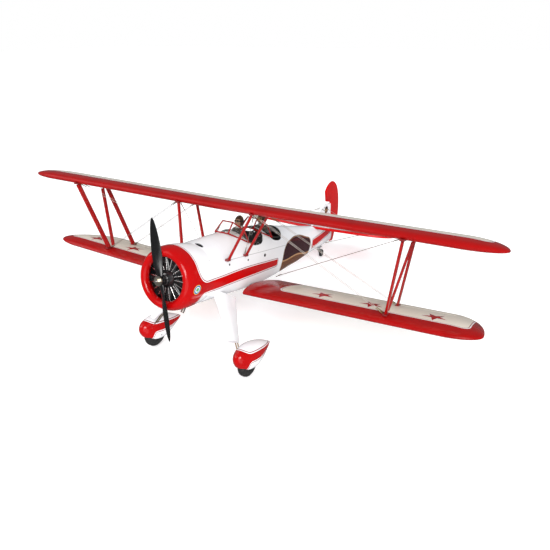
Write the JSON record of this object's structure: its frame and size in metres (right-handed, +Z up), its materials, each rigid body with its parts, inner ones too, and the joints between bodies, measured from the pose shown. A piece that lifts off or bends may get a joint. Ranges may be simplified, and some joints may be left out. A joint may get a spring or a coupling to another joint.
{
  "type": "radio-controlled model biplane",
  "caption": "Large-scale radio-controlled two-seat biplane with a cowled radial nose, N-struts, wire rigging, spatted main wheels and a steerable tail wheel.",
  "frame": {"origin": "centre of the bounding box, on the ground plane under the three wheels", "axes": "+X towards the port (left) wing tip, +Y towards the tail, +Z up; the aircraft stands tail-down"},
  "size_m": [2.1994, 1.7262, 0.6652],
  "materials": {
    "white_covering": "gloss",
    "cream_covering": "gloss",
    "red_covering": "gloss",
    "red_paint": "gloss",
    "white_paint": "gloss",
    "dark_red_metal": "satin",
    "red_metal": "satin",
    "black_padding": "satin",
    "panel_black": "matt",
    "clear_pane": "clear",
    "pilot_cloth": "matt",
    "engine_black": "satin",
    "alloy": "satin",
    "steel": "satin",
    "plywood": "matt",
    "tank_plastic": "matt",
    "black_plastic": "gloss",
    "silicone_tube": "satin",
    "wire_steel": "satin",
    "clevis_brass": "satin",
    "tyre_rubber": "matt",
    "hub_grey": "satin"
  },
  "bodies": {
    "airframe": {"fuselage_shell": "white_covering", "cockpit_hatch": "white_covering", "cockpit_coamings": "black_padding", "cockpit_floors": "plywood", "cockpit_seats": "black_padding", "instrument_panels": "panel_black", "windscreen_frames": "red_metal", "windscreen_panes": "clear_pane", "pilot_figures": "pilot_cloth", "cowling": "red_paint", "dummy_radial_engine": "engine_black", "pushrod_tubes": "alloy", "firewall": "plywood", "engine_standoffs": "alloy", "engine_block": "alloy", "exhaust_pipe": "engine_black", "fuel_tank": "tank_plastic", "fuel_vent_tube": "silicone_tube", "battery_pack": "black_plastic", "upper_wing_centre": "cream_covering", "upper_wing_left": "cream_covering", "upper_wing_right": "cream_covering", "wing_joiner_tubes": "alloy", "lower_wing_left": "cream_covering", "lower_wing_right": "cream_covering", "servos": "black_plastic", "interplane_struts_left": "red_metal", "interplane_struts_right": "red_metal", "cabane_struts": "red_metal", "strut_fittings": "dark_red_metal", "rigging_wires": "wire_steel", "wire_clevises": "clevis_brass", "stabiliser": "red_covering", "fin": "white_covering", "hinge_pins": "steel", "hinge_eyes": "black_plastic", "gear_leg_left": "white_paint", "gear_leg_right": "white_paint", "gear_wires": "steel", "wheel_pant_left": "white_paint", "wheel_pant_right": "white_paint", "wheel_collars": "alloy", "tail_wheel_bracket": "steel"},
    "propeller_group": {"crankshaft": "steel", "propeller": "black_plastic", "prop_washer": "alloy", "prop_nut": "steel"},
    "left_wheel": {"tyre_left": "tyre_rubber", "wheel_hub_left": "hub_grey"},
    "right_wheel": {"tyre_right": "tyre_rubber", "wheel_hub_right": "hub_grey"},
    "rudder_surface": {"rudder": "red_covering"},
    "elevators": {"elevator_left": "red_covering", "elevator_right": "red_covering", "elevator_torque_rod": "steel"},
    "left_aileron": {"aileron_left": "cream_covering"},
    "right_aileron": {"aileron_right": "cream_covering"},
    "tail_wheel_swivel": {"tail_wheel_fork": "alloy"},
    "tail_wheel": {"tail_tyre": "tyre_rubber", "tail_wheel_hub": "hub_grey"}
  },
  "joints": [
    {"name": "propeller_spin", "type": "hinge", "parent": "airframe", "child": "propeller_group", "pos_m": [0, -0.81109, 0.44992], "axis": [0, -0.9727, 0.232], "continuous": true},
    {"name": "left_wheel_roll", "type": "hinge", "parent": "airframe", "child": "left_wheel", "pos_m": [0.24, -0.62471, 0.059], "axis": [1, 0, 0], "continuous": true},
    {"name": "right_wheel_roll", "type": "hinge", "parent": "airframe", "child": "right_wheel", "pos_m": [-0.24, -0.62471, 0.059], "axis": [1, 0, 0], "continuous": true},
    {"name": "rudder_swing", "type": "hinge", "parent": "airframe", "child": "rudder_surface", "pos_m": [0, 0.74472, 0.05924], "axis": [0, -0.0395, 0.9992], "range_deg": [-30, 30]},
    {"name": "tail_wheel_steer", "type": "hinge", "parent": "airframe", "child": "tail_wheel_swivel", "pos_m": [0, 0.60056, 0.0669], "axis": [0, 0.232, 0.9727], "range_deg": [-30, 30]},
    {"name": "tail_wheel_roll", "type": "hinge", "parent": "tail_wheel_swivel", "child": "tail_wheel", "pos_m": [0, 0.6207, 0.022], "axis": [1, 0, 0], "continuous": true},
    {"name": "elevator_swing", "type": "hinge", "parent": "airframe", "child": "elevators", "pos_m": [0, 0.63819, 0.19876], "axis": [1, 0, 0], "range_deg": [-25, 25]},
    {"name": "left_aileron_swing", "type": "hinge", "parent": "airframe", "child": "left_aileron", "pos_m": [0.42, -0.17422, 0.20206], "axis": [0.9994, 0.0083, 0.035], "range_deg": [-22, 22]},
    {"name": "right_aileron_swing", "type": "hinge", "parent": "airframe", "child": "right_aileron", "pos_m": [-0.42, -0.17422, 0.20206], "axis": [0.9994, -0.0083, -0.035], "range_deg": [-22, 22]}
  ],
  "couplings": [
    {"joint": "tail_wheel_steer", "follows": "rudder_swing", "ratio": 1},
    {"joint": "right_aileron_swing", "follows": "left_aileron_swing", "ratio": -1}
  ]
}
